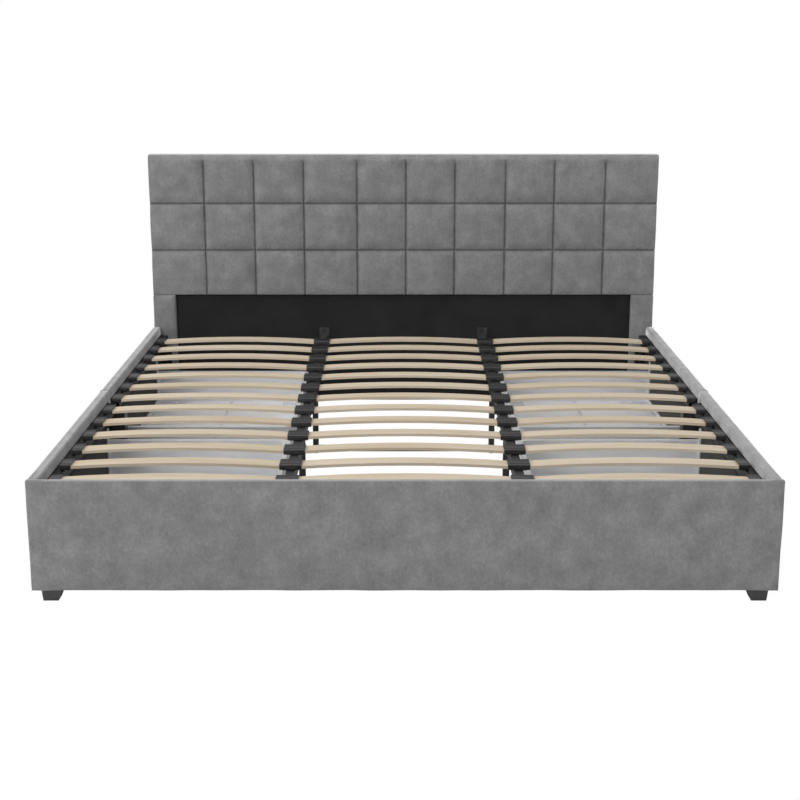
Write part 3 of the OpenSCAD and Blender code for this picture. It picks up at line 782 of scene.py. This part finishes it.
def rail_cover(end):
    """The right-hand cover of one rail, in the right-hand bay's coordinates."""
    low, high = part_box(f"right_{end}_rail_cover")
    board_low, board_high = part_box(f"right_{end}_rail_board")
    front_low, front_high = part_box(f"right_{end}_drawer_front_cover")
    bay = (front_low.y - DRAWER_GAP, front_high.y + DRAWER_GAP)
    bay_top = front_high.z + 0.005
    if end == "foot":
        split, tail_end, tail = high.y, FOOT_TAIL_END, (high.y - FOOT_TAIL, high.y)
    else:
        split, tail_end, tail = low.y, HEAD_TAIL_END, (low.y, low.y + HEAD_TAIL)
    cover = block(f"right_{end}_rail_velvet", (board_high.x, low.y, bay_top), high)
    with editing(cover):
        cut(cover, 2, [board_high.z, high.z - 0.016, high.z - 0.032, high.z - 0.05])
        cut(cover, 1, [bay[0], bay[1], bay[0] - WRAP, bay[1] + WRAP, sum(tail) - split])
        cut(cover, 1, steps(bay[0], bay[1], 0.04))
        pick_faces(cover, lambda middle, normal: normal.x < -0.9 and middle.z > board_high.z)
        extrude(x=low.x - board_high.x)
        cut(cover, 0, [board_low.x])
        pick_faces(cover, lambda middle, normal: normal.z < -0.9 and middle.x < board_low.x)
        extrude(z=SKIRT_END - board_high.z)
        pick_faces(cover, lambda middle, normal: normal.z < -0.9 and middle.x < board_low.x
                   and tail[0] < middle.y < tail[1])
        extrude(z=tail_end - SKIRT_END)
        pick_faces(cover, lambda middle, normal: normal.z < -0.9 and near(middle.z, bay_top)
                   and not bay[0] < middle.y < bay[1])
        extrude(z=low.z - bay_top)
        cut(cover, 2, [low.z + WRAP])
        pick_faces(cover, lambda middle, normal: normal.x < -0.9 and near(middle.x, board_high.x)
                   and middle.z < bay_top and (middle.z < low.z + WRAP
                                               or bay[0] - WRAP < middle.y < bay[1] + WRAP))
        extrude(x=board_low.x - board_high.x)
        pick_edges(cover, lambda place: near(place.y, split) and near(place.z, high.z))
        bpy.ops.mesh.bevel(offset=0.008, segments=4, affect="EDGES")
        pick_edges(cover, lambda place: near(place.x, high.x) and near(place.z, high.z))
        bpy.ops.mesh.bevel(offset=0.007, segments=5, affect="EDGES")
        pick_edges(cover, lambda place: near(place.x, low.x) and near(place.z, high.z))
        bpy.ops.mesh.bevel(offset=0.0048, segments=4, affect="EDGES")
    tidy_normals(cover)
    round_edges(cover, 0.0012)
    return cover


print("skirts end at z =", SKIRT_END, "tails at", FOOT_TAIL_END, HEAD_TAIL_END)


# %% Soften the rails
INNER_ROUND = 0.008
ROLL, ROLL_REACH = 0.005, 0.07


def soften_rail(cover):
    """Rounds the inner top corner, and fills the outer one, where the foam is folded double."""
    low, high = Vector(cover.bound_box[0]), Vector(cover.bound_box[6])
    outer, inner = max(abs(low.x), abs(high.x)), min(abs(low.x), abs(high.x))
    for vertex in cover.data.vertices:
        off = Vector((inner + INNER_ROUND - abs(vertex.co.x), vertex.co.z - high.z + INNER_ROUND))
        if min(off) > 0 and off.length > INNER_ROUND:
            off *= INNER_ROUND / off.length
            vertex.co.x = math.copysign(inner + INNER_ROUND - off.x, vertex.co.x)
            vertex.co.z = high.z - INNER_ROUND + off.y
        out = min(1.0, max(0.0, (abs(vertex.co.x) - outer + 0.012) / 0.009))
        up = min(1.0, max(0.0, (vertex.co.z - high.z + ROLL_REACH) / ROLL_REACH * 1.4))
        vertex.co.x += math.copysign(ROLL * out * math.sin(up * math.pi / 2), vertex.co.x)
    unevenness(cover, 0.0012, 0.05,
               lambda place: abs(place.x) > outer - 0.004 or place.z > high.z - 0.010)


for end in ("foot", "head"):
    right = rail_cover(end)
    left = copy_of(right, f"left_{end}_rail_velvet", mirrored=True)
    for side, cover in (("right", right), ("left", left)):
        soften_rail(cover)
        # The rails take the velvet with the painted sheen.
        complete(cover, sheen_painted_velvet, "frame", [f"{side}_{end}_rail_cover"])

# %% [markdown]
# ## The drawer fronts
# Four fronts, each a board in a velvet sleeve, open towards the tray. One is modelled with its
# foam face, filled by cloth pressure, and copied to the other bays.

# %% Drawer front covers
front_low, front_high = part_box("right_foot_drawer_front_cover")
inner_low, inner_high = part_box("right_foot_drawer_front_board")
front_face = front_high.x - 0.001
front = block("right_foot_drawer_front_velvet", front_low, (front_face, front_high.y, front_high.z))
with editing(front):
    pick_faces(front, lambda middle, normal: normal.x < -0.9)
    bpy.ops.mesh.inset(thickness=WRAP, use_even_offset=True)
    extrude(x=inner_high.x - front_low.x)
    pick_edges(front, lambda place: near(place.x, front_face))
    bpy.ops.mesh.bevel(offset=0.005, segments=4, affect="EDGES")
    cut(front, 1, steps(front_low.y + 0.005, front_high.y - 0.005, 0.018))
    cut(front, 2, steps(front_low.z + 0.005, front_high.z - 0.005, 0.018))
puff(front, lambda place: place.x < front_face - 0.0045, pressure=4.0, most=0.002)
head_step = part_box("right_head_drawer_front_cover")[0].y - front_low.y
fronts = {"right_foot_drawer": front}
for name, move, mirrored in (("right_head_drawer", head_step, False), ("left_foot_drawer", 0.0, True),
                             ("left_head_drawer", head_step, True)):
    fronts[name] = copy_of(front, name + "_front_velvet", (0, move, 0), mirrored)
for name, cover in fronts.items():
    unevenness(cover, 0.0012, 0.08, lambda place: abs(place.x) > front_face - 0.004)
    complete(cover, velvet, name, [name + "_front_cover"])

# %% [markdown]
# ## Stapled linings
# Black cloth is pulled flat over the inside of the footboard, of each drawer front, under the
# headboard's pad and over its back. It isn't quite flat: it is drawn tight between staples about
# 50 mm apart, so shallow folds run in from its edges, and the middle waves a little. A thin block
# is cut into a grid, and its points are moved by those two shapes.


# %% Linings
STAPLES_APART = 0.05


def stapled_cloth(name, low, high, nodes, body, thick_axis, grid=0.016):
    """A sheet stretched over a flat place. thick_axis is the axis through the cloth, 0 or 1."""
    sheet = block(name, low, high)
    along = 1 - thick_axis
    with editing(sheet):
        cut(sheet, along, steps(low[along], high[along], grid))
        cut(sheet, 2, steps(low[2], high[2], grid))
    outside = -1.0 if abs(low[thick_axis]) < abs(high[thick_axis]) else 1.0
    outside *= 1.0 if high[thick_axis] > 0 else -1.0
    depth = high[thick_axis] - low[thick_axis]
    for vertex in sheet.data.vertices:
        place = vertex.co.copy()
        edge_a = min(place[along] - low[along], high[along] - place[along])
        edge_b = min(place.z - low[2], high[2] - place.z)
        run = place[along] if edge_b < edge_a else place.z
        edge = min(edge_a, edge_b)
        folds = (math.exp(-edge / 0.035) * (1 - math.exp(-edge / 0.006))
                 * math.sin(run * math.tau / STAPLES_APART))
        wave = (1 - math.exp(-edge / 0.03)) * noise.noise(place * 7.0)
        vertex.co[thick_axis] += 0.0009 * folds + 0.0012 * wave
    round_edges(sheet, depth * 0.35, 2, 60.0)
    complete(sheet, lining, body, nodes)
    return sheet


def node_ends(node):
    low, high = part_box(node)
    return list(low), list(high)


low, high = node_ends("headboard_dust_panel")
low[1] += 0.0015   # the staples draw it back between the rails
stapled_cloth("headboard_dust_cloth", low, high, ["headboard_dust_panel"], "frame",
              1)
low, high = node_ends("headboard_back_cover")
stapled_cloth("headboard_back_cloth", low, high, ["headboard_back_cover"], "frame",
              1, grid=0.02)
low, high = node_ends("footboard_lining")
stapled_cloth("footboard_lining_cloth", low, high, ["footboard_lining"], "frame", 1)
for drawer in DRAWERS:
    low, high = node_ends(drawer + "_front_lining")
    stapled_cloth(drawer + "_front_lining_cloth", low, high, [drawer + "_front_lining"], drawer,
                  0)
